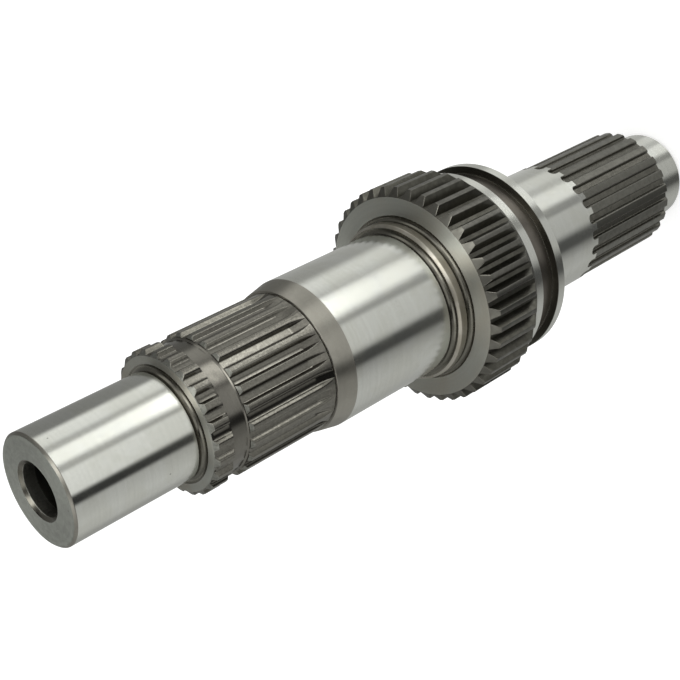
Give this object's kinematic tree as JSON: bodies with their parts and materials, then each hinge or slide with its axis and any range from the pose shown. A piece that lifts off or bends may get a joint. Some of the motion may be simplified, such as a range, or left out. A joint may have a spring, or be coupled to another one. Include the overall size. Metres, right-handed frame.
{
  "type": "transmission countershaft",
  "caption": "Stepped steel transmission countershaft with ground journals, straight splines at both ends, a spur gear rim, a shoulder ring, a grooved flange and a blind bore in its front face.",
  "frame": {"origin": "centre of the rear end face, on which the shaft stands", "axes": "+Z along the shaft axis from the rear pilot to the front journal, +X through the middle of one tooth of the front splines"},
  "size_m": [0.104, 0.104, 0.3858],
  "materials": {
    "steel": "bright ground journals, collar, ring and pilot, satin turned faces, dark hardened tooth flanks"
  },
  "bodies": {
    "root": {"countershaft": "steel"}
  },
  "joints": []
}
